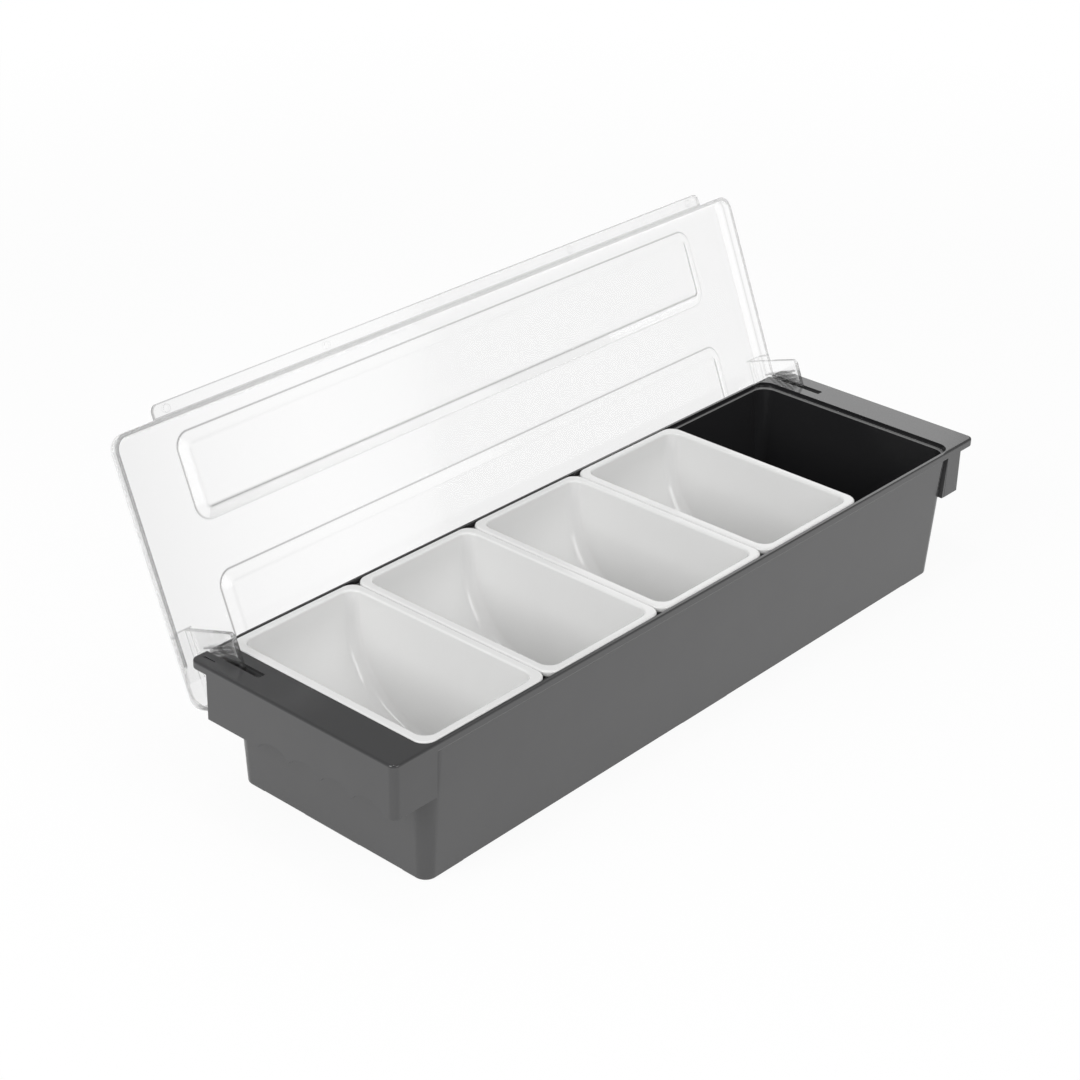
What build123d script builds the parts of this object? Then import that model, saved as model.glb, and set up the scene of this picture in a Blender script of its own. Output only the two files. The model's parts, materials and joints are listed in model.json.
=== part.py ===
from build123d import *
import os
from math import hypot, radians, tan

os.makedirs("parts", exist_ok=True)

# Driving sizes in millimetres and degrees
# The origin is the middle of the base, X runs along the tray, Z is up, and the hinge is at the back, +Y.
tray_length = 500.0
tray_depth = 144.3
tray_height = 84.0
wall_draft_deg = 3.4
lid_open_deg = 112.5

# Tray, its end flanges and its rim
wall = 2.6
flange_reach = 22.0
flange_thickness = 5.5
flange_skin = 3.0
flange_corner_radius = 4.0
flange_edge_radius = 1.2
rim_reach = 0.35
trough_corner_radius = 7.0
floor_edge_radius = 4.0
base_edge_radius = 1.4

# Seat that the tubs hang in
seat_drop = 3.0
seat_corner_radius = 8.0
ledge_width_end = 2.0
ledge_width_front = 1.1
ledge_edge_radius = 0.4

# Feet, low pads left between shallow arches
foot_height = 1.0
foot_middle_length = 38.6
foot_corner_length = 27.0
foot_corner_depth = 16.1

# Skirts under the flanges, which serve as hand holds
skirt_drop = 31.0
skirt_back_gap = 12.15
skirt_web_left_reach = 29.5
skirt_web_right_reach = 27.5
skirt_clip_length = 14.0
skirt_clip_depth = 12.0
scallop_count = 4
scallop_pitch = 22.0
scallop_rise = 5.6
scallop_front_gap = 7.15

# Hinge slots, the cheeks below them and the groove beside them
slot_end_gap = 10.8
slot_width = 4.7
slot_length = 39.15
slot_corner_radius = 0.5
pivot_back_gap = 11.25
pivot_drop = 12.9
cheek_thickness = 3.2
cheek_radius = 6.5
stud_radius = 3.0
stud_clearance = 0.08
stud_end_gap = 0.6
dash_end_gap = 6.0
dash_back_gap = 4.15
dash_length = 8.0
dash_width = 1.2
dash_depth = 0.5

# Tubs, all alike, four of them in five places
place_count = 5
tub_count = 4
place_slack = 4.8
tub_gap = 0.4
tub_seat_gap = 0.35
tub_lift = 0.3
tub_rim_thickness = 3.0
tub_rim_band_x = 5.5
tub_rim_band_y = 4.8
tub_rim_corner_radius = 8.0
tub_wall = 2.0
tub_floor_gap = 9.3
tub_round_inset = 5.15
tub_crease_radius = 7.0
tub_lip_radius = 1.2

# Lid, a shallow clear tray turned upside down
lid_end_inset = 0.6
lid_back_reach = 4.6
lid_wall = 2.0
lid_corner_radius = 9.0
lid_edge_radius = 6.0
lid_rest_gap = 0.3
rear_rim_height = 5.0
relief_gap = 0.4
panel_swing_gap = 0.58
panel_count = 2
panel_end_margin = 40.4
panel_front_margin = 11.5
panel_back_margin = 14.9
panel_gap = 27.7
panel_drop = 2.0
panel_bevel = 6.4
panel_corner_radius = 9.0
panel_floor_radius = 3.0
panel_ease_radius = 2.5
lip_end_gap = 28.4
lip_reach = 7.5
lip_thickness = 1.8
lip_corner_radius = 4.0
mark_radius = 2.2
mark_depth = 0.3
mark_end_gap = 9.0
mark_middle_spacing = 200.0

# Ears that carry the lid
ear_gap = 0.95
ear_front_gap = 0.9
ear_back_gap = 1.25
ear_tip_drop = 18.0
ear_front_setback = 2.6
ear_front_radius = 3.0
ear_back_radius = 9.0
ear_rib_count = 5
ear_rib_pitch = 2.6
ear_rib_front_gap = 10.0
ear_rib_width = 0.8
ear_rib_height = 0.35
ear_rib_low = 14.0
ear_rib_high = 8.0

# Derived levels and positions of the tray
half_length = tray_length / 2
half_depth = tray_depth / 2
draft = tan(radians(wall_draft_deg))
flange_bottom = tray_height - flange_thickness
skin_bottom = tray_height - flange_skin
skirt_bottom = tray_height - skirt_drop
skirt_back_y = half_depth - skirt_back_gap
ledge_level = tray_height - seat_drop
floor_level = foot_height + wall
trough_length = tray_length - 2 * flange_reach
trough_depth = tray_depth - 2 * rim_reach
cavity_length = trough_length - 2 * wall
cavity_depth = trough_depth - 2 * wall
seat_length = cavity_length + 2 * ledge_width_end
seat_depth = cavity_depth + 2 * ledge_width_front
pivot_y = half_depth - pivot_back_gap
pivot_z = tray_height - pivot_drop
slot_outer_x = half_length - slot_end_gap
slot_inner_x = slot_outer_x - slot_width
slot_front_y = half_depth - slot_length


def slab(length, depth, radius, low, high):
    """Upright block with rounded corners between two levels."""
    return Pos(0, 0, low) * extrude(RectangleRounded(length, depth, radius), high - low)


def tapered(length, depth, low_radius, low, high):
    """Block sized at its top that narrows downwards by the wall draft, with its low corners' radius."""
    inset = (high - low) * draft
    base = Pos(0, 0, low) * RectangleRounded(length - 2 * inset, depth - 2 * inset, low_radius)
    top = Pos(0, 0, high) * RectangleRounded(length, depth, low_radius + inset)
    return loft([base, top], ruled=True)


def box(x_near, x_far, y_near, y_far, z_low, z_high):
    """Block between three pairs of coordinates, each pair in either order."""
    middle = Pos((x_near + x_far) / 2, (y_near + y_far) / 2, (z_low + z_high) / 2)
    return middle * Box(abs(x_far - x_near), abs(y_far - y_near), abs(z_high - z_low))


def rod(x_near, x_far, y, z, radius):
    """Round bar along X between two coordinates in either order."""
    return Pos((x_near + x_far) / 2, y, z) * Rot(0, 90, 0) * Cylinder(radius, abs(x_far - x_near))


# Tray body: top plate and trough
plate = slab(tray_length, tray_depth, flange_corner_radius, flange_bottom, tray_height)
plate = fillet(plate.edges().group_by(Axis.Z)[-1], flange_edge_radius)
plate = fillet(plate.edges().group_by(Axis.Z)[0], flange_edge_radius)
trough = tapered(trough_length, trough_depth, trough_corner_radius, 0, tray_height)
trough = fillet(trough.edges().group_by(Axis.Z)[0], base_edge_radius)

# Flange undersides are hollow down to an even skin
hollow_inner_x = trough_length / 2
hollow_outer_x = half_length - wall
hollow_y = half_depth - wall
for side in (-1, 1):
    plate -= box(
        side * hollow_inner_x, side * hollow_outer_x, -hollow_y, hollow_y, flange_bottom, skin_bottom
    )
body = plate + trough

# Left skirt: end wall and a front web that is flush with the front wall
inner_radius = flange_corner_radius - wall
left_outer = slab(tray_length, tray_depth, flange_corner_radius, skirt_bottom, skin_bottom)
left_inner = slab(tray_length - 2 * wall, tray_depth - 2 * wall, inner_radius, skirt_bottom, skin_bottom)
left_web_x = half_length - skirt_web_left_reach
left_zone = box(-half_length, -left_web_x, -half_depth, skirt_back_y, skirt_bottom, skin_bottom)
body += (left_outer - left_inner) & left_zone

# Right skirt: the same with its front corner clipped off
right_web_x = half_length - skirt_web_right_reach
clip_points = [
    (right_web_x, -half_depth),
    (half_length - skirt_clip_length, -half_depth),
    (half_length, skirt_clip_depth - half_depth),
    (half_length, half_depth),
    (right_web_x, half_depth),
]
right_plan = make_face(Polyline(*clip_points, close=True))
right_core = offset(right_plan, amount=-wall, kind=Kind.INTERSECTION)
right_core += Pos(-wall, 0) * right_core
right_wall = Pos(0, 0, skirt_bottom) * extrude(right_plan - right_core, skin_bottom - skirt_bottom)
right_zone = box(right_web_x, half_length, -half_depth, skirt_back_y, skirt_bottom, skin_bottom)
body += right_wall & right_zone

# Finger scallops in the lower edge of both end walls
scallop_radius = (scallop_pitch ** 2 / 4 + scallop_rise ** 2) / (2 * scallop_rise)
scallop_z = skirt_bottom + scallop_rise - scallop_radius
scallop_first_y = scallop_front_gap + scallop_pitch / 2 - half_depth
for index in range(scallop_count):
    scallop_y = scallop_first_y + index * scallop_pitch
    for side in (-1, 1):
        inner = side * (half_length - 2 * wall)
        body -= rod(inner, side * half_length, scallop_y, scallop_z, scallop_radius)

# Hinge cheeks hang from the flange on both sides of each slot
cheek_inner_x = slot_inner_x - cheek_thickness
cheek_outer_x = slot_outer_x + cheek_thickness
for side in (-1, 1):
    inner = side * cheek_inner_x
    outer = side * cheek_outer_x
    cheek = rod(inner, outer, pivot_y, pivot_z, cheek_radius)
    cheek += box(inner, outer, pivot_y - cheek_radius, pivot_y + cheek_radius, pivot_z, skin_bottom)
    body += cheek

# Trough cavity with a rounded floor, then the seat above its ledge, whose edge is eased
cavity = tapered(cavity_length, cavity_depth, trough_corner_radius - wall, floor_level, ledge_level)
cavity = fillet(cavity.edges().group_by(Axis.Z)[0], min(floor_edge_radius, trough_corner_radius - wall))
body -= cavity
body -= slab(seat_length, seat_depth, seat_corner_radius, ledge_level, tray_height)
upward = body.faces().filter_by(Axis.Z).filter_by(lambda face: face.normal_at().Z > 0)
ledge = upward.sort_by(lambda face: abs(face.center().Z - ledge_level))[0]
body = fillet(ledge.inner_wires()[0].edges(), ledge_edge_radius)

# Hinge slots open at the back, sockets and the short groove beside each slot
for side in (-1, 1):
    slot_low = pivot_z - cheek_radius
    slot = box(side * slot_inner_x, side * slot_outer_x, slot_front_y, half_depth, slot_low, tray_height)
    slot_front = slot.edges().filter_by(Axis.Z).group_by(Axis.Y)[0]
    body -= fillet(slot_front, slot_corner_radius)
    body -= rod(side * cheek_inner_x, side * cheek_outer_x, pivot_y, pivot_z, stud_radius + stud_clearance)
    dash_x = side * (half_length - dash_end_gap)
    dash_y = half_depth - dash_back_gap
    body -= box(
        dash_x - dash_width / 2,
        dash_x + dash_width / 2,
        dash_y - dash_length,
        dash_y,
        tray_height - dash_depth,
        tray_height,
    )

# Shallow arches between the feet, along the sides and the ends
foot_middle = foot_middle_length / 2
foot_corner_x = trough_length / 2 - tray_height * draft - foot_corner_length
foot_corner_y = trough_depth / 2 - tray_height * draft - foot_corner_depth
for side in (-1, 1):
    body -= box(side * foot_middle, side * foot_corner_x, -half_depth, half_depth, 0, foot_height)
    body -= box(-half_length, half_length, side * foot_middle, side * foot_corner_y, 0, foot_height)
tray_body = body

# Tub: a scoop-shaped bowl with flat sides and a flanged rim
tub_pitch = (seat_length - place_slack) / place_count
tub_rim_length = tub_pitch - tub_gap
tub_rim_depth = seat_depth - 2 * tub_seat_gap
tub_rim_low = ledge_level + tub_lift
tub_top = tub_rim_low + tub_rim_thickness
bowl_half_x = tub_rim_length / 2 - tub_rim_band_x
bowl_half_y = tub_rim_depth / 2 - tub_rim_band_y
bowl_bottom = floor_level + tub_floor_gap + tub_wall
bowl_radius = min(bowl_half_y, tub_top - bowl_bottom) - tub_round_inset


def bowl(grow, crease):
    """Scoop shape of the tub, grown outwards by an even amount."""
    half_y = bowl_half_y + grow
    half_x = bowl_half_x + grow
    bottom = bowl_bottom - grow
    inset = (tub_top - bottom) * draft
    side_points = [(-half_y, bottom), (-half_y, tub_top), (half_y, tub_top), (half_y, bottom)]
    side_view = make_face(Polyline(*side_points, close=True))
    side_view = fillet(side_view.vertices().group_by(Axis.Y)[0], bowl_radius + grow)
    end_points = [(-half_x, tub_top), (half_x, tub_top), (half_x - inset, bottom), (inset - half_x, bottom)]
    end_view = make_face(Polyline(*end_points, close=True))
    scoop = extrude(Plane.YZ * side_view, half_x, both=True)
    wedge = extrude(Plane.XZ * end_view, half_y, both=True)
    shape = scoop & wedge
    sides = shape.edges().filter_by(lambda edge: abs(edge.center().X) > half_x - 2 * inset)
    return fillet(sides - shape.edges().group_by(Axis.Z)[-1], crease)


rim = slab(tub_rim_length, tub_rim_depth, tub_rim_corner_radius, tub_rim_low, tub_top)
tub = rim + bowl(tub_wall, tub_crease_radius + tub_wall)
tub -= bowl(0, tub_crease_radius)
tub = fillet(tub.edges().group_by(Axis.Z)[-1], tub_lip_radius)
tub_first_x = tub_seat_gap + tub_rim_length / 2 - seat_length / 2
tubs = []
for index in range(tub_count):
    tubs.append(Pos(tub_first_x + index * tub_pitch, 0, 0) * tub)

# Lid shell and its front lip, drawn closed with the hinge axis at the origin.
# It is just high enough for its panels to pass over the flange's back edge as it swings.
lid_length = tray_length - 2 * lid_end_inset
lid_depth = tray_depth + lid_back_reach
edge_y = pivot_back_gap - flange_edge_radius
edge_z = pivot_drop - flange_edge_radius
relief_radius = hypot(edge_y, edge_z) + flange_edge_radius + relief_gap
lid_low = pivot_drop + lid_rest_gap
lid_top = relief_radius + panel_swing_gap + panel_drop + lid_wall
lid_front = -half_depth - pivot_y
lid_back = lid_front + lid_depth
lid_middle = (lid_front + lid_back) / 2
shell = slab(lid_length, lid_depth, lid_corner_radius, lid_low, lid_top)
shell = fillet(shell.edges().group_by(Axis.Z)[-1], lid_edge_radius)
hollow_length = lid_length - 2 * lid_wall
hollow_depth = lid_depth - 2 * lid_wall
hollow = slab(hollow_length, hollow_depth, lid_corner_radius - lid_wall, lid_low, lid_top - lid_wall)
hollow = fillet(hollow.edges().group_by(Axis.Z)[-1], lid_edge_radius - lid_wall)
lip_length = lid_length - 2 * lip_end_gap
lip = RectangleRounded(lip_length, 2 * lip_reach, lip_corner_radius)
lip_plate = Pos(0, lid_front, lid_low) * extrude(lip, lip_thickness)
lid = Pos(0, lid_middle, 0) * shell + lip_plate - Pos(0, lid_middle, 0) * hollow

# Long panels stepped down with sloping sides and eased edges
panel_length = lid_length - 2 * panel_end_margin
panel_room = lid_depth - panel_front_margin - panel_back_margin - (panel_count - 1) * panel_gap
panel_width = panel_room / panel_count


def panel(y, level):
    """Step that narrows downwards from a level of the lid."""
    outline = RectangleRounded(panel_length, panel_width, panel_corner_radius)
    floor_length = panel_length - 2 * panel_bevel
    floor_width = panel_width - 2 * panel_bevel
    floor = RectangleRounded(floor_length, floor_width, panel_floor_radius)
    return loft([Pos(0, y, level - panel_drop) * floor, Pos(0, y, level) * outline], ruled=True)


for index in range(panel_count):
    panel_y = lid_front + panel_front_margin + panel_width / 2 + index * (panel_width + panel_gap)
    lid += panel(panel_y, lid_top - lid_wall)
    lid -= panel(panel_y, lid_top)
    reach = panel_width / 2 + lid_wall
    level_edges = lid.edges().filter_by(Plane.XY)
    panel_edges = level_edges.filter_by(lambda edge: abs(edge.center().Y - panel_y) < reach)
    lid = fillet(panel_edges, panel_ease_radius)

# Room for the flange's back edge as the lid swings, and a lower back rim behind the trough
lid -= rod(-lid_length / 2, lid_length / 2, 0, 0, relief_radius)
back_rim_low = lid_top - rear_rim_height
lid -= box(-slot_inner_x, slot_inner_x, lid_back - 2 * lid_wall, lid_back, lid_low, back_rim_low)

# Four round mould marks in the lip's underside
mark_outer_x = lip_length / 2 - mark_end_gap
mark_inner_x = mark_middle_spacing / 2
mark_y = lid_front - lip_reach / 2
for mark_x in (-mark_outer_x, -mark_inner_x, mark_inner_x, mark_outer_x):
    lid -= Pos(mark_x, mark_y, lid_low + mark_depth / 2) * Cylinder(mark_radius, mark_depth)

# Ears with fine grip ribs, and the studs that turn in the cheeks
ear_thickness = slot_width - 2 * ear_gap
ear_front = slot_front_y + ear_front_gap - pivot_y
ear_back = pivot_back_gap - ear_back_gap
ear_top = lid_top - lid_wall / 2
ear_points = [
    (ear_front, ear_top),
    (ear_front + ear_front_setback, -ear_tip_drop),
    (ear_back, -ear_tip_drop),
    (ear_back, ear_top),
]
ear_view = make_face(Polyline(*ear_points, close=True))
ear_view = fillet(ear_view.vertices().group_by(Axis.Y)[0].sort_by(Axis.X)[0], ear_front_radius)
ear_view = fillet(ear_view.vertices().group_by(Axis.X)[-1].sort_by(Axis.Y)[0], ear_back_radius)
half_rib = ear_thickness / 2 + ear_rib_height
half_stud = slot_width / 2 + cheek_thickness - stud_end_gap
for side in (-1, 1):
    ear_x = side * (slot_inner_x + slot_outer_x) / 2
    lid += Pos(ear_x, 0, 0) * extrude(Plane.YZ * ear_view, ear_thickness / 2, both=True)
    for index in range(ear_rib_count):
        rib_y = ear_front + ear_rib_front_gap + index * ear_rib_pitch
        lid += box(
            ear_x - half_rib,
            ear_x + half_rib,
            rib_y - ear_rib_width / 2,
            rib_y + ear_rib_width / 2,
            -ear_rib_low,
            ear_rib_high,
        )
    lid += rod(ear_x - half_stud, ear_x + half_stud, 0, 0, stud_radius)

# The lid rests swung open
lid = Pos(0, pivot_y, pivot_z) * Rot(-lid_open_deg, 0, 0) * lid

# Export, one file per piece
pieces = {"tray_body": tray_body, "lid": lid}
for index, placed_tub in enumerate(tubs):
    pieces["tub_" + str(index + 1)] = placed_tub
for name, piece in pieces.items():
    export_step(piece, os.path.join("parts", name + ".step"))
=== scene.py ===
import json
from math import pi, radians, tan

import bmesh
import bpy
from mathutils import Matrix, Vector

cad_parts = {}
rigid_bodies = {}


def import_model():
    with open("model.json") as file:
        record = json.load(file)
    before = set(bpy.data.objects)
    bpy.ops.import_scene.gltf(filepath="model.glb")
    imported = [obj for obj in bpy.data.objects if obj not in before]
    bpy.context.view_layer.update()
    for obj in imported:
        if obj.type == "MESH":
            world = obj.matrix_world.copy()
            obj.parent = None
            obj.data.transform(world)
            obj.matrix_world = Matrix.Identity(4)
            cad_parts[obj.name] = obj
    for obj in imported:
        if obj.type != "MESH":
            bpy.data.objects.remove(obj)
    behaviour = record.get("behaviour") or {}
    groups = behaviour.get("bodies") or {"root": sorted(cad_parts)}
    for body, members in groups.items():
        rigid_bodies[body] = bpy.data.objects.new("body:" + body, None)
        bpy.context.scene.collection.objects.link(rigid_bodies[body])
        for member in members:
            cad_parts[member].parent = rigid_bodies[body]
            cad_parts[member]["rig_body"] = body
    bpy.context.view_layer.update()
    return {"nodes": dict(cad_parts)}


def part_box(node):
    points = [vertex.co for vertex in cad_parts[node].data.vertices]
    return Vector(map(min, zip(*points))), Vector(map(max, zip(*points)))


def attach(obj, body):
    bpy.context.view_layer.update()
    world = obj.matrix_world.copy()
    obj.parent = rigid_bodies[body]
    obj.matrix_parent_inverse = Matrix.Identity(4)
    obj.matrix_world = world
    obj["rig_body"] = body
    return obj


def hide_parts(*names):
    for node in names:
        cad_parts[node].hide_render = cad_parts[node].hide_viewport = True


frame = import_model()

# Tray body, one injection moulding in black plastic, satin outside, polished on top and in the trough,
# which are both painted darker as shade.
# It stands on low feet and carries every other piece: the tubs hang in its seat, the lid in its cheeks.
BODY_DARK = (0.060, 0.060, 0.061, 1)
BODY_LIGHT = (0.069, 0.069, 0.070, 1)
# Painted shade: the top is painted darker than the sides, and the inside of the seat and trough darker
# still.
PAINTED_TOP_SHADE = (0.036, 0.036, 0.037, 1)
PAINTED_INSIDE_SHADE = (0.018, 0.018, 0.019, 1)
# Painted highlight along the ledge's inner edge in the trough.
PAINTED_LEDGE_HIGHLIGHT = (0.2, 0.2, 0.2, 1)
BODY_GLOSS = 0.24
POLISHED_GLOSS = 0.14
BODY_GLOSS_SPREAD = 0.06
BODY_CLOUD = 0.03
BODY_CLOUD_DETAIL = 3
BODY_GRAIN = 0.0008
BODY_GRAIN_STRENGTH = 0.012
BODY_IOR = 1.5
GRAIN_DEPTH = 0.0002
GRAIN_DETAIL = 2
FACING_SOFTNESS = 0.0001
MERGE_DISTANCE = 1e-6
BODY_SHARP_DEG = 32
SEAT_LENGTH = 0.4548
SEAT_DEPTH = 0.1406
SEAT_CORNER = 0.008
SEAT_EDGE = 0.0003
FLOOR_LEVEL = 0.002
LEDGE_LEVEL = 0.081
# Height of the painted highlight's band below the ledge.
LEDGE_HIGHLIGHT_BAND = 0.0005
TOP_LEVEL = 0.0826
TRAY_TOP = 0.084
TROUGH_LENGTH = 0.456
TROUGH_DEPTH = 0.1436
TROUGH_CORNER = 0.007
TROUGH_SKIN = 0.0004
BODY_DRAFT = tan(radians(3.4))


class Link:
    """A node's output that can be used in sums, each of which adds a Math node."""

    def __init__(self, tree, socket):
        self.tree = tree
        self.socket = socket

    def node(self, kind, settings, inputs, output=0):
        """Adds a node, sets it, fills or links its inputs, and gives one of its outputs."""
        made = self.tree.nodes.new(kind)
        for name, value in settings.items():
            setattr(made, name, value)
        for name, value in inputs.items():
            if isinstance(value, Link):
                self.tree.links.new(value.socket, made.inputs[name])
            else:
                made.inputs[name].default_value = value
        return Link(self.tree, made.outputs[output])

    def math(self, operation, first, second=0.0, clamped=False):
        """Result of a Math node on one or two values."""
        settings = {"operation": operation, "use_clamp": clamped}
        return self.node("ShaderNodeMath", settings, {0: first, 1: second})

    def __add__(self, other):
        return self.math("ADD", self, other)

    def __radd__(self, other):
        return self.math("ADD", other, self)

    def __sub__(self, other):
        return self.math("SUBTRACT", self, other)

    def __rsub__(self, other):
        return self.math("SUBTRACT", other, self)

    def __mul__(self, other):
        return self.math("MULTIPLY", self, other)

    def __rmul__(self, other):
        return self.math("MULTIPLY", other, self)

    def __truediv__(self, other):
        return self.math("DIVIDE", self, other)

    def __abs__(self):
        return self.math("ABSOLUTE", self)


def new_material(name):
    """A material with only its output, and the object coordinates to build it on."""
    material = bpy.data.materials.new(name)
    material.use_nodes = True
    tree = material.node_tree
    tree.nodes.clear()
    output = tree.nodes.new("ShaderNodeOutputMaterial")
    coordinates = tree.nodes.new("ShaderNodeTexCoord")
    return material, Link(tree, output.inputs["Surface"]), Link(tree, coordinates.outputs["Object"])


def clouds(place, size, detail):
    """Soft noise from 0 to 1 whose patches are about the given size in metres."""
    return place.node("ShaderNodeTexNoise", {}, {"Vector": place, "Scale": 1 / size, "Detail": detail})


def mixed(mask, dark, light):
    """Colour between two colours by a mask."""
    return mask.node("ShaderNodeMix", {"data_type": "RGBA"}, {0: mask, 6: dark, 7: light}, 2)


def grained(place, size, strength):
    """Normal of a fine moulded grain."""
    grain = clouds(place, size, GRAIN_DETAIL)
    bump = {"Height": grain, "Strength": strength, "Distance": GRAIN_DEPTH}
    return place.node("ShaderNodeBump", {}, bump)


def outline_distance(x, y, length, depth, corner):
    """Distance from a rounded rectangle, negative inside, and how far it faces along x and y."""
    over_x = abs(x) - (length / 2 - corner)
    over_y = abs(y) - (depth / 2 - corner)
    past_x = x.math("MAXIMUM", over_x, 0.0)
    past_y = x.math("MAXIMUM", over_y, 0.0)
    past = x.math("SQRT", past_x * past_x + past_y * past_y)
    distance = past + x.math("MINIMUM", x.math("MAXIMUM", over_x, over_y), 0.0) - corner
    faces_x = x.math("SIGN", x) * past_x / (past + FACING_SOFTNESS)
    faces_y = x.math("SIGN", y) * past_y / (past + FACING_SOFTNESS)
    return distance, faces_x, faces_y


def smoothed(shape, sharp_deg):
    """Shades a shape round across its blends and crisp at its corners."""
    for face in shape.faces:
        face.smooth = True
    for edge in shape.edges:
        edge.smooth = edge.calc_face_angle(0) < radians(sharp_deg)


def placed(name, mesh, node):
    """Adds a mesh that stands for a solid, moves with its body and hides the solid."""
    piece = bpy.data.objects.new(name, mesh)
    bpy.context.scene.collection.objects.link(piece)
    weighted = piece.modifiers.new("even_shading", "WEIGHTED_NORMAL")
    weighted.keep_sharp = True
    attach(piece, frame["nodes"][node]["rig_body"])
    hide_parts(node)


def skinned(node, sharp_deg, material):
    """Adds a merged and smoothed copy of a solid's mesh that stands for the solid."""
    mesh = bpy.data.meshes.new(node + "_skin")
    shape = bmesh.new()
    shape.from_mesh(frame["nodes"][node].data)
    bmesh.ops.remove_doubles(shape, verts=shape.verts, dist=MERGE_DISTANCE)
    smoothed(shape, sharp_deg)
    shape.to_mesh(mesh)
    shape.free()
    mesh.materials.append(material)
    placed(node + "_skin", mesh, node)


body_plastic, surface, place = new_material("body_plastic")
x, y, z = [place.node("ShaderNodeSeparateXYZ", {}, {0: place}, axis) for axis in range(3)]
seat_distance = outline_distance(x, y, SEAT_LENGTH, SEAT_DEPTH, SEAT_CORNER)[0]
drawn_in = (TRAY_TOP - z) * (2 * BODY_DRAFT)
inner_length = TROUGH_LENGTH - drawn_in
inner_depth = TROUGH_DEPTH - drawn_in
trough_distance = outline_distance(x, y, inner_length, inner_depth, TROUGH_CORNER + z * BODY_DRAFT)[0]
over_ledge = x.math("GREATER_THAN", z, LEDGE_LEVEL)
in_seat = x.math("LESS_THAN", seat_distance, SEAT_EDGE) * over_ledge
in_trough = x.math("LESS_THAN", trough_distance, -TROUGH_SKIN) * (1 - over_ledge)
inside = x.math("MAXIMUM", in_seat, in_trough * x.math("GREATER_THAN", z, FLOOR_LEVEL))
# Painted highlight: a thin band just below the ledge level inside the trough.
ledge_highlight = in_trough * x.math("GREATER_THAN", z, LEDGE_LEVEL - LEDGE_HIGHLIGHT_BAND)
top = x.math("GREATER_THAN", z, TOP_LEVEL)
polished = x.math("MAXIMUM", inside, top)
cloud = clouds(place, BODY_CLOUD, BODY_CLOUD_DETAIL)
satin = mixed(cloud, BODY_DARK, BODY_LIGHT)
gloss = BODY_GLOSS + BODY_GLOSS_SPREAD * (cloud - 0.5) + polished * (POLISHED_GLOSS - BODY_GLOSS)
# Base colour: the satin outside, painted shade on the top, darker painted shade inside, and a painted
# highlight on the ledge's edge.
finish = place.node(
    "ShaderNodeBsdfPrincipled",
    {},
    {
        "Base Color": mixed(ledge_highlight, mixed(inside, mixed(top, satin, PAINTED_TOP_SHADE), PAINTED_INSIDE_SHADE), PAINTED_LEDGE_HIGHLIGHT),
        "Roughness": gloss,
        "Normal": grained(place, BODY_GRAIN, BODY_GRAIN_STRENGTH),
        "IOR": BODY_IOR,
    },
)
surface.tree.links.new(finish.socket, surface.socket)
skinned("tray_body", BODY_SHARP_DEG, body_plastic)

# Web ends, part of the tray's moulding: each skirt's front web turns in and meets the trough's corner.
# They are thin plates from the web's free edge back into the trough's wall, and the right one slants.
WEB_LOW = 0.053
WEB_HIGH = 0.081
WEB_WALL = 0.0026
WEB_FRONT = -0.07205
WEB_BURIED = 0.0008
WEB_ROWS = 8
WEB_ENDS = ((-1, 0.2206, 0.2206), (1, 0.2202, 0.2226))


def trough_y(x, z):
    """Front surface of the trough at a distance from its middle, with its corner rounded."""
    drawn = (TRAY_TOP - z) * BODY_DRAFT
    radius = TROUGH_CORNER + z * BODY_DRAFT
    past = min(max(x - (TROUGH_LENGTH / 2 - drawn - radius), 0), radius)
    return radius - (radius * radius - past * past) ** 0.5 + drawn - TROUGH_DEPTH / 2


web_shape = bmesh.new()
for side, low_x, high_x in WEB_ENDS:
    rows = []
    for row in range(WEB_ROWS + 1):
        share = row / WEB_ROWS
        z = WEB_LOW + share * (WEB_HIGH - WEB_LOW)
        near = low_x + share * (high_x - low_x)
        far = near + WEB_WALL
        corners = [(near, WEB_FRONT), (far, WEB_FRONT)]
        corners += [(x, trough_y(x, z) + WEB_BURIED) for x in (far, near)]
        rows.append([web_shape.verts.new((side * x, y, z)) for x, y in corners])
    for lower, upper in zip(rows, rows[1:]):
        for first in range(4):
            second = (first + 1) % 4
            web_shape.faces.new((lower[first], lower[second], upper[second], upper[first]))
    web_shape.faces.new(rows[0][::-1])
    web_shape.faces.new(rows[-1])
bmesh.ops.recalc_face_normals(web_shape, faces=web_shape.faces)
web_mesh = bpy.data.meshes.new("web_ends")
web_shape.to_mesh(web_mesh)
web_shape.free()
web_mesh.materials.append(body_plastic)
web_ends = bpy.data.objects.new("web_ends", web_mesh)
bpy.context.scene.collection.objects.link(web_ends)
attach(web_ends, frame["nodes"]["tray_body"]["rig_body"])

# Tubs, four alike, moulded in white plastic that is a little glossy, each a scoop under a flat rim.
# Each hangs by its rim in the tray's seat with a sliver of play, and lifts straight out.
TUB_WHITE = (0.79, 0.79, 0.785, 1)
TUB_SHADE = (0.76, 0.76, 0.755, 1)
TUB_GLOSS = 0.1
TUB_GLOSS_SPREAD = 0.06
TUB_CLOUD = 0.05
TUB_CLOUD_DETAIL = 2
TUB_GRAIN = 0.0015
TUB_GRAIN_STRENGTH = 0.015
TUB_IOR = 1.5
TUB_SHARP_DEG = 50
TUB_COUNT = 4
TUB_RIM = 0.003
TUB_RIM_CORNER = 0.008
TUB_BAND_ENDS = 0.0055
TUB_BAND_FRONT = 0.0048
TUB_WALL = 0.002
TUB_ROUND = 0.060
TUB_CREASE = 0.007
TUB_LIP = 0.0012
TUB_DRAFT_DEG = 3.4
ROUND_STEPS = 40
CORNER_STEPS = 8
LIP_STEPS = 4
WELD_DISTANCE = 0.00015

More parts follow.
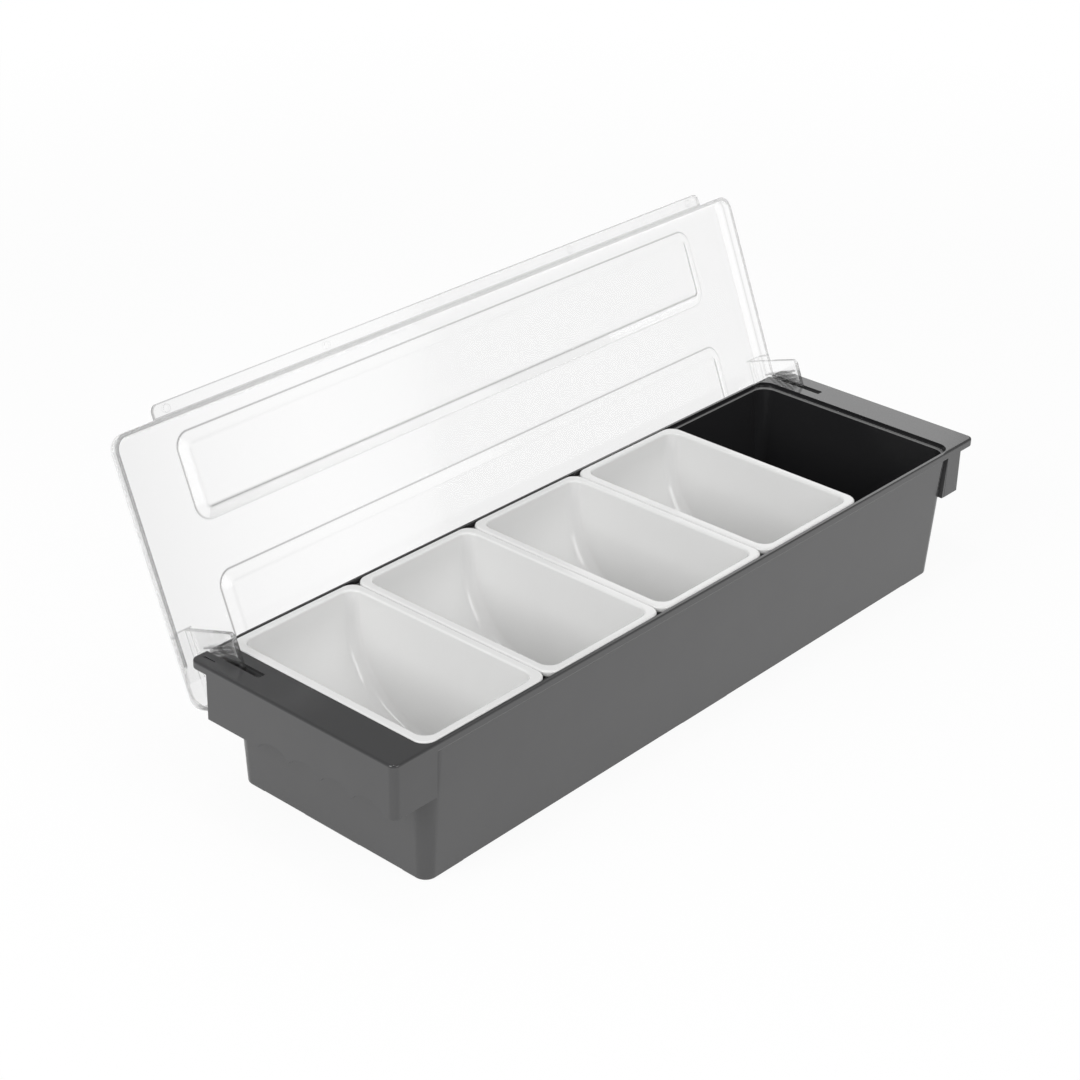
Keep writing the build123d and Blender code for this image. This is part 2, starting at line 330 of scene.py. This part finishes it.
tub_low, tub_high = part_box("tub_1")
tub_sizes = {
    "Middle": (tub_low.x + tub_high.x) / 2,
    "Rim Length": tub_high.x - tub_low.x,
    "Rim Depth": tub_high.y - tub_low.y,
    "Rim Thickness": TUB_RIM,
    "Rim Corner": TUB_RIM_CORNER,
    "Top": tub_high.z,
    "Bottom": tub_low.z,
    "Band Ends": TUB_BAND_ENDS,
    "Band Front": TUB_BAND_FRONT,
    "Wall": TUB_WALL,
    "Round": TUB_ROUND,
    "Crease": TUB_CREASE,
    "Lip": TUB_LIP,
    "Draft": tan(radians(TUB_DRAFT_DEG)),
}
tub_form = bpy.data.node_groups.new("tub_form", "GeometryNodeTree")
tub_form.interface.new_socket("Tub", in_out="OUTPUT", socket_type="NodeSocketGeometry")
tub_sockets = {}
for name in tub_sizes:
    socket = tub_form.interface.new_socket(name, in_out="INPUT", socket_type="NodeSocketFloat")
    tub_sockets[name] = socket.identifier
socket = tub_form.interface.new_socket("Material", in_out="INPUT", socket_type="NodeSocketMaterial")
tub_sockets["Material"] = socket.identifier
given = tub_form.nodes.new("NodeGroupInput")
size = {name: Link(tub_form, given.outputs[name]) for name in tub_sockets}
draw = size["Top"].node


def at(x, y, z=0.0):
    """Point or step from its three parts."""
    return draw("ShaderNodeCombineXYZ", {}, {0: x, 1: y, 2: z})


def joined(*parts):
    """Several parts as one."""
    made = tub_form.nodes.new("GeometryNodeJoinGeometry")
    for part in parts:
        tub_form.links.new(part.socket, made.inputs[0])
    return Link(tub_form, made.outputs[0])


def rounded(curve, radius, steps):
    """Curve with its corners rounded."""
    corners = {"Curve": curve, "Radius": radius, "Count": steps}
    return draw("GeometryNodeFilletCurve", {"mode": "POLY"}, corners)


def bent(points, radius, steps):
    """Line through points in the XY plane with its inner points rounded."""
    refraction_shade = draw("GeometryNodeMeshLine", {}, {"Count": len(points)})
    choice = tub_form.nodes.new("GeometryNodeIndexSwitch")
    choice.data_type = "VECTOR"
    for extra in points[2:]:
        choice.index_switch_items.new()
    tub_form.links.new(draw("GeometryNodeInputIndex", {}, {}).socket, choice.inputs[0])
    for number, point in enumerate(points, 1):
        tub_form.links.new(at(*point).socket, choice.inputs[number])
    curve = draw("GeometryNodeMeshToCurve", {}, {"Mesh": refraction_shade})
    spots = Link(tub_form, choice.outputs[0])
    curve = draw("GeometryNodeSetPosition", {}, {"Geometry": curve, "Position": spots})
    return rounded(curve, radius, steps)


def loop(half_length, half_depth, radius):
    """Rounded rectangle in the XY plane."""
    sizes = {"Width": half_length * 2, "Height": half_depth * 2}
    return rounded(draw("GeometryNodeCurvePrimitiveQuadrilateral", {}, sizes), radius, CORNER_STEPS)


def swept(path, section):
    """Skin of a section carried along a path."""
    return draw("GeometryNodeCurveToMesh", {}, {"Curve": path, "Profile Curve": section})


def filled(outline):
    """Flat face within an outline."""
    return draw("GeometryNodeFillCurve", {"mode": "NGONS"}, {"Curve": outline})


def moved(part, x, y, z):
    """Part shifted by a step."""
    return draw("GeometryNodeSetPosition", {}, {"Geometry": part, "Offset": at(x, y, z)})


def upright(part):
    """Part turned from the XY plane, where it is drawn, into the YZ plane."""
    return draw("GeometryNodeTransform", {}, {"Geometry": part, "Rotation": (pi / 2, 0, pi / 2)})


def flipped(part):
    """Part with its faces turned over."""
    return draw("GeometryNodeFlipFaces", {}, {"Mesh": part})


def profile(half_depth, bottom, top, radius):
    """Side view of a scoop: down at the back, round to the bottom and up at the front."""
    points = [(half_depth * -1, top), (half_depth * -1, bottom), (half_depth, bottom), (half_depth, top)]
    return bent(points, radius, ROUND_STEPS)


def scoop(half_length, half_depth, bottom, top, radius, crease):
    """Scoop's skin seen from inside, with its two flat ends, drawn in towards the bottom by the draft."""
    edge = half_length * -1
    section = [(edge, crease * -1), (edge, 0.0), (half_length, 0.0), (half_length, crease * -1)]
    skin = swept(upright(profile(half_depth, bottom, top, radius)), bent(section, crease, CORNER_STEPS))
    outline = profile(half_depth - crease, bottom + crease, top, radius - crease)
    end = upright(filled(draw("GeometryNodeSetSplineCyclic", {}, {"Geometry": outline, "Cyclic": True})))
    shape = joined(skin, moved(flipped(end), half_length, 0.0, 0.0), moved(end, edge, 0.0, 0.0))
    here = draw("GeometryNodeInputPosition", {}, {})
    x, y, z = [draw("ShaderNodeSeparateXYZ", {}, {0: here}, axis) for axis in range(3)]
    drawn_in = 1 - (top - z) * size["Draft"] / half_length
    return draw("GeometryNodeSetPosition", {}, {"Geometry": shape, "Position": at(x * drawn_in, y, z)})


top = size["Top"]
wall = size["Wall"]
lip = size["Lip"]
rim_low = top - size["Rim Thickness"]
half_length = size["Rim Length"] / 2
half_depth = size["Rim Depth"] / 2
mouth_length = half_length - size["Band Ends"]
mouth_depth = half_depth - size["Band Front"]
outer_length = mouth_length + wall - size["Rim Thickness"] * size["Draft"]
outer_depth = mouth_depth + wall
crease = size["Crease"]
outer_crease = crease + wall
corner = size["Rim Corner"]
inside = scoop(mouth_length, mouth_depth, size["Bottom"] + wall, top - lip, size["Round"], crease)
outside = scoop(outer_length, outer_depth, size["Bottom"], rim_low, size["Round"] + wall, outer_crease)
lip_section = [(0.0, lip), (0.0, 0.0), (lip, 0.0)]
mouth_lip = swept(loop(mouth_length, mouth_depth, crease), bent(lip_section, lip, LIP_STEPS))
edge_section = [(lip * -1, 0.0), (0.0, 0.0), (0.0, size["Rim Thickness"])]
rim_edge = swept(loop(half_length, half_depth, corner), bent(edge_section, lip, LIP_STEPS))
rim_outline = loop(half_length - lip, half_depth - lip, corner - lip)
rim_top = filled(joined(rim_outline, loop(mouth_length + lip, mouth_depth + lip, crease + lip)))
under_outline = loop(half_length, half_depth, corner)
rim_under = filled(joined(under_outline, loop(outer_length, outer_depth, outer_crease)))
rim_over = moved(joined(mouth_lip, rim_edge, rim_top), 0.0, 0.0, top)
rim = joined(rim_over, moved(flipped(rim_under), 0.0, 0.0, rim_low))
tub_shape = joined(inside, flipped(outside), rim)
tub_shape = draw("GeometryNodeMergeByDistance", {}, {"Geometry": tub_shape, "Distance": WELD_DISTANCE})
tub_shape = moved(tub_shape, size["Middle"], 0.0, 0.0)
tub_shape = draw("GeometryNodeRealizeInstances", {}, {"Geometry": tub_shape})
tub_shape = draw("GeometryNodeSetMaterial", {}, {"Geometry": tub_shape, "Material": size["Material"]})
result = tub_form.nodes.new("NodeGroupOutput")
tub_form.links.new(tub_shape.socket, result.inputs[0])

tub_plastic, surface, place = new_material("tub_plastic")
cloud = clouds(place, TUB_CLOUD, TUB_CLOUD_DETAIL)
finish = place.node(
    "ShaderNodeBsdfPrincipled",
    {},
    {
        "Base Color": mixed(cloud, TUB_SHADE, TUB_WHITE),
        "Roughness": TUB_GLOSS + TUB_GLOSS_SPREAD * (cloud - 0.5),
        "Normal": grained(place, TUB_GRAIN, TUB_GRAIN_STRENGTH),
        "IOR": TUB_IOR,
    },
)
surface.tree.links.new(finish.socket, surface.socket)

for number in range(1, TUB_COUNT + 1):
    node = "tub_" + str(number)
    low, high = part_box(node)
    seed = bpy.data.objects.new(node + "_seed", bpy.data.meshes.new(node + "_seed"))
    bpy.context.scene.collection.objects.link(seed)
    form = seed.modifiers.new("tub_form", "NODES")
    form.node_group = tub_form
    for name, value in tub_sizes.items():
        form[tub_sockets[name]] = value
    form[tub_sockets["Middle"]] = (low.x + high.x) / 2
    form[tub_sockets["Material"]] = tub_plastic
    mesh = bpy.data.meshes.new_from_object(seed.evaluated_get(bpy.context.evaluated_depsgraph_get()))
    bpy.data.objects.remove(seed)
    shape = bmesh.new()
    shape.from_mesh(mesh)
    smoothed(shape, TUB_SHARP_DEG)
    shape.to_mesh(mesh)
    shape.free()
    placed(node + "_form", mesh, node)

# Lid, one clear moulding with two stepped panels, a lip to lift it by and an ear at each end.
# The ears drop through the tray's slots, and their studs snap into the cheeks below.
# Painted refraction: dark lines drawn in the base colour where the clear plastic's edges, ribs and marks
# bend the light.
LID_CLEAR = (1.0, 1.0, 1.0, 1)
LID_SHADE = (0.985, 0.985, 0.985, 1)
# Painted shade at the lid's left end.
LID_PAINTED_SHADE = (0.66, 0.66, 0.66, 1)
# Colour of the painted refraction lines.
LID_REFRACTION_SHADE = (0.03, 0.03, 0.03, 1)
LID_GLOSS = 0.08
LID_GLOSS_SPREAD = 0.05
LID_CLOUD = 0.06
LID_CLOUD_DETAIL = 3
LID_GRAIN = 0.0012
LID_GRAIN_STRENGTH = 0.05
LID_IOR = 1.49
LID_SHARP_DEG = 32
OUTER_TONE = 0.8
OUTER_TURN = 0.18
INNER_TONE = 0.6
INNER_TURN = 0.38
WALL_TONE = 0.75
BEND_TONE = 0.6
LIP_TONE = 0.75
MARK_TONE = 0.3
RIB_TONE = 0.9
EAR_TONE = 0.8
ROOT_TONE = 0.6
LID_BODY = 0.13
# The painted shade also makes the lid's left end more opaque.
LID_SHADE_OPACITY = 0.2
LID_SHINE = 0.13
REFRACTION_OPACITY = 0.62
LID_OPEN_DEG = 112.5
HINGE_Y = 0.0609
HINGE_Z = 0.0711
PLATE_LEVEL = 0.0206
PANEL_DROP = 0.002
PANEL_BEVEL = 0.0064
PANEL_LENGTH = 0.418
PANEL_DEPTH = 0.0474
PANEL_CORNER = 0.009
PANEL_MIDDLES = (-0.09785, -0.02275)
OUTER_LINE = 0.0011
INNER_LINE = 0.0018
EAR_INNER = 0.2335
EAR_FRONT = -0.027
EAR_SLOPE = 0.0674
EAR_ROOT = 0.019
EAR_TIP = -0.018
EAR_LINE = 0.0009
SHELL_LENGTH = 0.4988
SHELL_DEPTH = 0.1489
SHELL_MIDDLE = -0.0586
SHELL_CORNER = 0.009
SHELL_LOW = 0.0132
SHELL_BEND = 0.0156
SHELL_WALL = 0.002
SHELL_FRONT = -0.13305
SHELL_LINE = 0.0009
LIP_LENGTH = 0.442
LIP_REACH = 0.0075
LIP_CORNER = 0.004
MARK_PLACES = (0.1, 0.212)
MARK_RADIUS = 0.0022
MARK_LINE = 0.0005
RIB_FIRST = -0.017
RIB_PITCH = 0.0026
RIB_COUNT = 5
RIB_LOW = -0.014
RIB_HIGH = 0.008
PAINTED_SHADE_FROM = -0.25
PAINTED_SHADE_TO = -0.12

lid_plastic, surface, place = new_material("lid_plastic")
hinge = (0, HINGE_Y, HINGE_Z)
turn = {"Vector": place, "Center": hinge, "Angle": radians(LID_OPEN_DEG)}
shut = place.node("ShaderNodeVectorRotate", {"rotation_type": "X_AXIS"}, turn)
x, y, z = [shut.node("ShaderNodeSeparateXYZ", {}, {0: shut}, axis) for axis in range(3)]
y = y - HINGE_Y
z = z - HINGE_Z


def stroke(distance, width):
    """Soft line where a distance passes zero."""
    return distance.math("MAXIMUM", 1 - abs(distance) / width, 0.0)


def between(value, low, high):
    """One where a value lies between two bounds."""
    return value.math("GREATER_THAN", value, low) * value.math("LESS_THAN", value, high)


# Painted refraction lines along the panels' steps, the shell's wall and bend, the lip, its marks, the
# ears and their ribs.
refraction_shades = []
for middle in PANEL_MIDDLES:
    distance, faces_x, faces_y = outline_distance(x, y - middle, PANEL_LENGTH, PANEL_DEPTH, PANEL_CORNER)
    away = faces_x + faces_y
    outer_side = x.math("LESS_THAN", z, PLATE_LEVEL)
    inner_side = x.math("LESS_THAN", z, PLATE_LEVEL - PANEL_DROP)
    # The outer lines are painted darker towards one corner and the inner lines towards the opposite one,
    # as light falls.
    refraction_shades.append(stroke(distance, OUTER_LINE) * outer_side * (OUTER_TONE - OUTER_TURN * away))
    inner_line = stroke(distance + PANEL_BEVEL, INNER_LINE) * inner_side
    refraction_shades.append(inner_line * (INNER_TONE + INNER_TURN * away))
shell_distance = outline_distance(x, y - SHELL_MIDDLE, SHELL_LENGTH, SHELL_DEPTH, SHELL_CORNER)[0]
on_wall = between(shell_distance, -SHELL_WALL - SHELL_LINE, SHELL_LINE)
refraction_shades.append(stroke(z - SHELL_LOW, SHELL_LINE) * on_wall * WALL_TONE)
on_bend = x.math("GREATER_THAN", z, SHELL_BEND)
refraction_shades.append(stroke(shell_distance + SHELL_LINE, SHELL_LINE) * on_bend * BEND_TONE)
lip_distance = outline_distance(x, y - SHELL_FRONT, LIP_LENGTH, 2 * LIP_REACH, LIP_CORNER)[0]
on_lip = x.math("LESS_THAN", y, SHELL_FRONT)
refraction_shades.append(stroke(lip_distance, SHELL_LINE) * on_lip * LIP_TONE)
for mark_place in MARK_PLACES:
    across = abs(x) - mark_place
    along = y - (SHELL_FRONT - LIP_REACH / 2)
    mark_distance = x.math("SQRT", across * across + along * along) - MARK_RADIUS
    refraction_shades.append(stroke(mark_distance, MARK_LINE) * on_lip * MARK_TONE)
on_ear = x.math("GREATER_THAN", abs(x), EAR_INNER) * x.math("LESS_THAN", z, EAR_ROOT + EAR_LINE)
rib_end = RIB_FIRST + (RIB_COUNT - 0.5) * RIB_PITCH
on_ribs = between(y, RIB_FIRST - RIB_PITCH / 2, rib_end) * between(z, RIB_LOW, RIB_HIGH) * on_ear
ribs = 0.5 + 0.5 * x.math("COSINE", (y - RIB_FIRST) * (2 * pi / RIB_PITCH))
refraction_shades.append(ribs * on_ribs * RIB_TONE)
ear_edge = y - EAR_FRONT - (EAR_ROOT - z) * EAR_SLOPE
refraction_shades.append(stroke(ear_edge, EAR_LINE) * on_ear * EAR_TONE)
refraction_shades.append(stroke(z - EAR_TIP, EAR_LINE) * on_ear * EAR_TONE)
refraction_shades.append(stroke(z - EAR_ROOT, EAR_LINE) * on_ear * between(y, EAR_FRONT, 0.0) * ROOT_TONE)
refraction_shade = refraction_shades[0]
for other in refraction_shades[1:]:
    refraction_shade = x.math("MAXIMUM", refraction_shade, other)
cloud = clouds(place, LID_CLOUD, LID_CLOUD_DETAIL)
# Painted shade: darker and less clear towards the lid's left end, fading out before the middle.
painted_shade_fade = x.node("ShaderNodeMapRange", {}, {"Value": x, "From Min": PAINTED_SHADE_FROM, "From Max": PAINTED_SHADE_TO})
colour = mixed(painted_shade_fade, LID_PAINTED_SHADE, mixed(cloud, LID_SHADE, LID_CLEAR))
finish = place.node(
    "ShaderNodeBsdfPrincipled",
    {},
    {
        "Base Color": mixed(refraction_shade, colour, LID_REFRACTION_SHADE),
        "Roughness": LID_GLOSS + LID_GLOSS_SPREAD * (cloud - 0.5),
        "Normal": grained(place, LID_GRAIN, LID_GRAIN_STRENGTH),
        "Alpha": LID_BODY + LID_SHADE_OPACITY * (1 - painted_shade_fade) + REFRACTION_OPACITY * refraction_shade,
        "IOR": LID_IOR,
        "Specular IOR Level": LID_SHINE,
        "Transmission Weight": 1.0,
    },
)
surface.tree.links.new(finish.socket, surface.socket)
skinned("lid", LID_SHARP_DEG, lid_plastic)

# Studio: a white floor that the camera sees as plain white, with most of its shadow washed out.
# Large soft lamps stand at the left and in front, small ones above and behind, in a white room.
FLOOR_HALF = 6
FLOOR_WHITE = (0.96, 0.96, 0.96, 1)
SHADOW_LEFT = 0.08
SHADOW_REACH = 0.7
SHADOW_FADE = 0.6
ROOM_LIGHT = 0.45
# Each lamp's place, target, side length in metres and power in watts.
LAMPS = {
    "left": ((-1.6, 0.1, 1.0), (0, 0, 0.05), 0.9, 15),
    "front": ((-0.1, -1.5, 0.9), (0, 0, 0.05), 0.9, 10.5),
    "top": ((-0.1, 0.1, 1.6), (0, 0, 0.05), 0.25, 2.4),
    "back": ((1.3, 0.8, 0.75), (0.2, 0, 0.08), 0.5, 1.2),
}

floor_paper, surface, place = new_material("floor_paper")
path = surface.tree.nodes.new("ShaderNodeLightPath")
ray_kinds = ("Is Camera Ray", "Is Glossy Ray", "Is Transmission Ray")
seen = [Link(surface.tree, path.outputs[name]) for name in ray_kinds]
white = place.node("ShaderNodeEmission", {}, {"Color": (1, 1, 1, 1), "Strength": 1.0})
paper = place.node("ShaderNodeBsdfDiffuse", {}, {"Color": FLOOR_WHITE})
far = place.node("ShaderNodeVectorMath", {"operation": "LENGTH"}, {0: place}, 1)
far = far.math("ADD", (far - SHADOW_REACH) / SHADOW_FADE, 0.0, True)
looked_at = (seen[0] + seen[1] + seen[2]) * (1 - SHADOW_LEFT * (1 - far))
seen_floor = place.node("ShaderNodeMixShader", {}, {0: looked_at, 1: paper, 2: white})
surface.tree.links.new(seen_floor.socket, surface.socket)
signs = ((-1, -1), (1, -1), (1, 1), (-1, 1))
corners = [(sign_x * FLOOR_HALF, sign_y * FLOOR_HALF, 0) for sign_x, sign_y in signs]
floor_mesh = bpy.data.meshes.new("floor")
floor_mesh.from_pydata(corners, [], [(0, 1, 2, 3)])
floor_mesh.materials.append(floor_paper)
floor = bpy.data.objects.new("floor", floor_mesh)
bpy.context.scene.collection.objects.link(floor)

room = bpy.data.worlds.new("room")
room.use_nodes = True
bpy.context.scene.world = room
tree = room.node_tree
tree.nodes.clear()
output = tree.nodes.new("ShaderNodeOutputWorld")
path = tree.nodes.new("ShaderNodeLightPath")
seen = [Link(tree, path.outputs[name]) for name in ("Is Camera Ray", "Is Transmission Ray")]
strength = ROOM_LIGHT + (seen[0] + seen[1]) * (1 - ROOM_LIGHT)
light = strength.node("ShaderNodeBackground", {}, {"Color": (1, 1, 1, 1), "Strength": strength})
tree.links.new(light.socket, output.inputs["Surface"])


def soft_lamp(name, place, target, size, power):
    """Adds a square lamp at a place, turned to a target."""
    data = bpy.data.lights.new(name, "AREA")
    data.size = size
    data.energy = power
    lamp = bpy.data.objects.new(name, data)
    lamp.location = place
    lamp.rotation_euler = (Vector(target) - Vector(place)).to_track_quat("-Z", "Y").to_euler()
    bpy.context.scene.collection.objects.link(lamp)


for name, settings in LAMPS.items():
    soft_lamp(name, *settings)

# Camera: in front, to the left and above, with a long lens and the whole object in focus.
# Its place, turns and lens were fitted to the tray's corners and edges in the photograph.
CAMERA_LENS = 79.39
CAMERA_SENSOR = 36
CAMERA_PLACE = (-0.9111, -0.7320, 0.7031)
CAMERA_AROUND_DEG = -49.076
CAMERA_DOWN_DEG = 28.046
CAMERA_ROLL_DEG = 1.472

camera_data = bpy.data.cameras.new("camera")
camera_data.lens = CAMERA_LENS
camera_data.sensor_width = CAMERA_SENSOR
camera_data.dof.use_dof = False
camera = bpy.data.objects.new("camera", camera_data)
around = Matrix.Rotation(radians(CAMERA_AROUND_DEG), 4, "Z")
down = Matrix.Rotation(radians(90 - CAMERA_DOWN_DEG), 4, "X")
roll = Matrix.Rotation(radians(CAMERA_ROLL_DEG), 4, "Z")
camera.matrix_world = Matrix.Translation(CAMERA_PLACE) @ around @ down @ roll
bpy.context.scene.collection.objects.link(camera)
bpy.context.scene.camera = camera
bpy.context.scene.view_settings.view_transform = "Standard"
